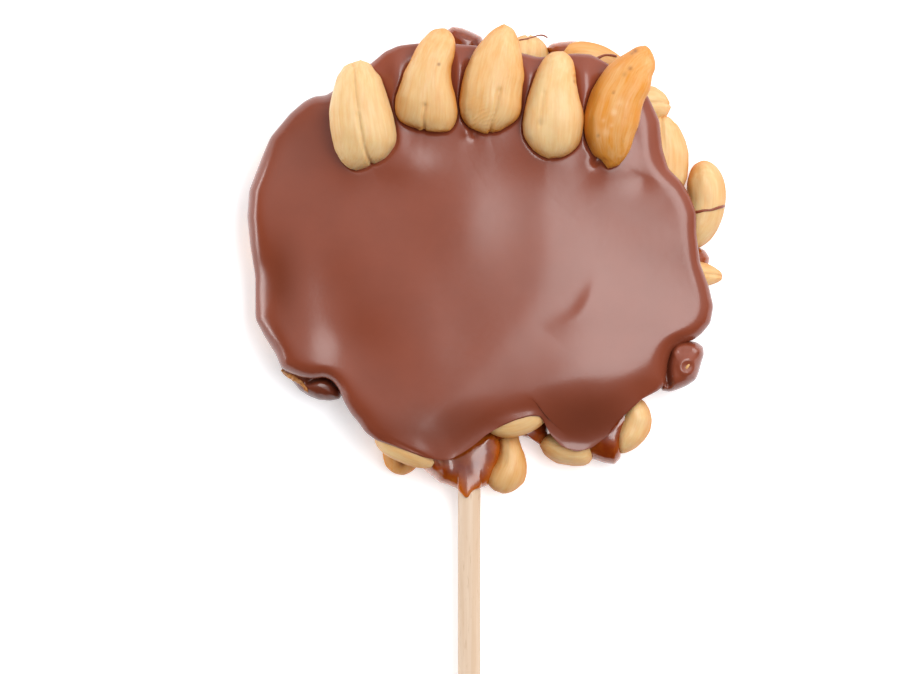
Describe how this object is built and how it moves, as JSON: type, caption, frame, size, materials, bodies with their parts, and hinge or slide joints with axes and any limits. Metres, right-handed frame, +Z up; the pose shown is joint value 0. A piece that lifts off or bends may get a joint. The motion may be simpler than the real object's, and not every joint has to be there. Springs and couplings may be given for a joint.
{
  "type": "lollipop",
  "caption": "Cashew and caramel lollipop on a round wooden stick, with a poured milk chocolate coat and large cashews pressed along its top edge like claws.",
  "frame": {"origin": "middle of the head's outline, on the flat caramel underside that it rests on", "axes": "+Y from the stick towards the row of large cashews, +Z up out of the chocolate-coated side, +X to the right as seen from above"},
  "size_m": [0.1071, 0.1948, 0.026],
  "materials": {
    "milk_chocolate": "smooth tempered milk chocolate with a soft sheen",
    "caramel": "glossy soft caramel, translucent at its thin edges",
    "cashew": "roasted cashew, pale cream to light tan, dull to slightly oily",
    "birch": "plain smooth birch dowel"
  },
  "bodies": {
    "root": {"chocolate_coat": "milk_chocolate", "corner_nut": "milk_chocolate", "caramel": "caramel", "stick": "birch", "claw_1": "cashew", "claw_2": "cashew", "claw_3": "cashew", "claw_4": "cashew", "claw_5": "cashew", "back_nut_1": "cashew", "back_nut_2": "cashew", "right_nut_1": "cashew", "right_nut_2": "cashew", "right_nut_3": "cashew", "right_nut_4": "cashew", "lower_right_nut_1": "cashew", "lower_right_nut_2": "cashew", "bottom_nut_1": "cashew", "bottom_nut_2": "cashew", "bottom_nut_3": "cashew", "bottom_nut_4": "cashew", "knob_nut": "cashew", "left_nut_1": "cashew", "left_nut_2": "cashew", "left_nut_3": "cashew", "left_nut_4": "cashew", "left_nut_5": "cashew", "underside_nut_1": "cashew", "underside_nut_2": "cashew", "underside_nut_3": "cashew", "underside_nut_4": "cashew", "underside_nut_5": "cashew", "underside_nut_6": "cashew", "underside_nut_7": "cashew", "underside_nut_8": "cashew", "middle_nut_1": "cashew", "middle_nut_2": "cashew", "middle_nut_3": "cashew"}
  },
  "joints": []
}
